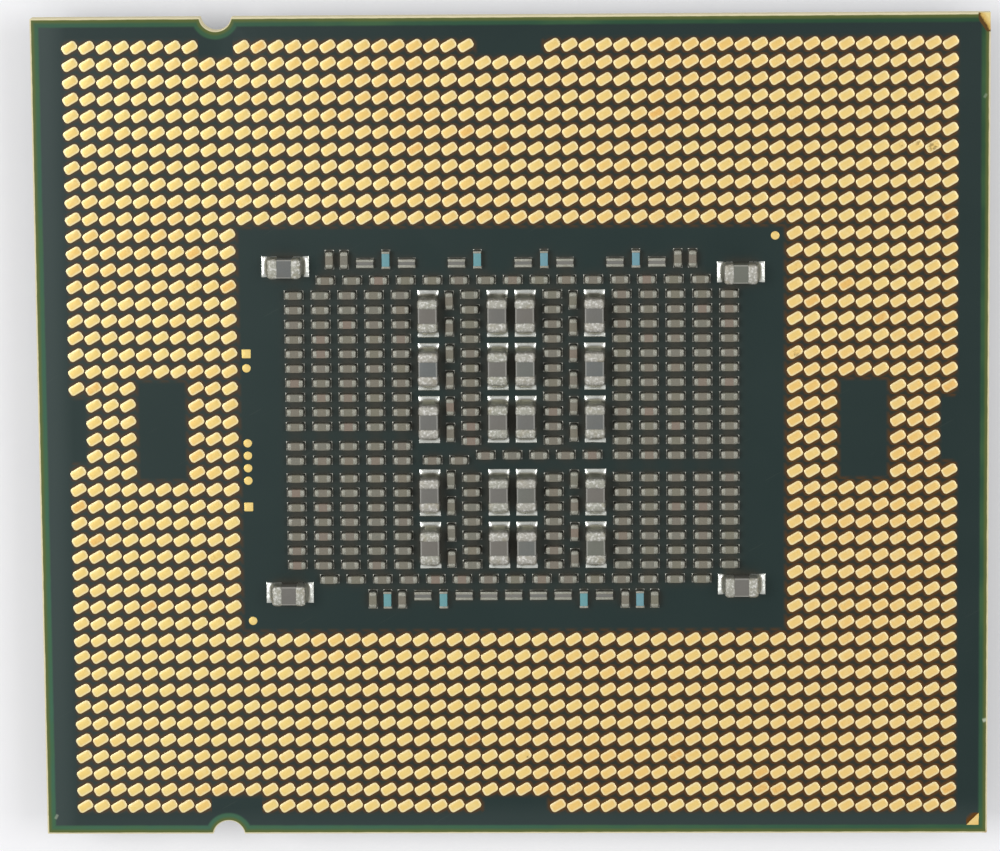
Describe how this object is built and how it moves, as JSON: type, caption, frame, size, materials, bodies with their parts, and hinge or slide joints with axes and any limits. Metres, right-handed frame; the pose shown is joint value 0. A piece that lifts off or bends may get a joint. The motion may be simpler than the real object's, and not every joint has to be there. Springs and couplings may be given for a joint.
{
  "type": "computer processor",
  "caption": "Rectangular land grid array processor, land side up: tilted gold lands around a field of chip capacitors, two key notches, and a stepped metal heat spreader beneath.",
  "frame": {"origin": "middle of the package in X and Y, on the outer face of the heat spreader, on which the part lies", "axes": "+X along the rows of lands towards the edge farther from the key notches, +Y towards the edge away from the first-land mark, +Z out of the land side"},
  "size_m": [0.0564, 0.0492, 0.0057],
  "materials": {
    "substrate": "dark green solder mask over cream glass-fibre laminate, satin",
    "spreader_metal": "nickel plated copper, satin",
    "sealant": "cured silicone, matt",
    "silicon": "ground silicon, dark grey",
    "underfill": "cured epoxy, dark",
    "thermal_solder": "soft solder, dull grey",
    "gold": "thin gold over nickel, satin",
    "large_ceramic": "fired grey ceramic, matt",
    "large_end_metal": "tin plated ends, matt",
    "solder": "reflowed solder, bright",
    "small_ceramic": "fired tan ceramic, matt",
    "small_end_metal": "tin plated ends, matt",
    "wide_ceramic": "fired grey ceramic, matt",
    "blue_ceramic": "blue glazed ceramic, satin"
  },
  "bodies": {
    "root": {"package_substrate": "substrate", "heat_spreader": "spreader_metal", "lid_sealant": "sealant", "silicon_die": "silicon", "die_underfill": "underfill", "thermal_solder": "thermal_solder", "upper_lands": "gold", "lower_lands": "gold", "left_lands": "gold", "right_lands": "gold", "round_test_pads": "gold", "square_test_pads": "gold", "first_land_mark": "gold", "large_capacitor_bodies": "large_ceramic", "large_capacitor_ends": "large_end_metal", "large_capacitor_solder": "solder", "left_capacitor_solder": "solder", "right_capacitor_solder": "solder", "centre_capacitor_solder": "solder", "border_capacitor_solder": "solder", "wide_capacitor_solder": "solder", "blue_chip_solder": "solder", "left_capacitor_bodies": "small_ceramic", "right_capacitor_bodies": "small_ceramic", "centre_capacitor_bodies": "small_ceramic", "border_capacitor_bodies": "small_ceramic", "left_capacitor_ends": "small_end_metal", "right_capacitor_ends": "small_end_metal", "centre_capacitor_ends": "small_end_metal", "border_capacitor_ends": "small_end_metal", "wide_capacitor_ends": "small_end_metal", "blue_chip_ends": "small_end_metal", "wide_capacitor_bodies": "wide_ceramic", "blue_chip_bodies": "blue_ceramic"}
  },
  "joints": []
}
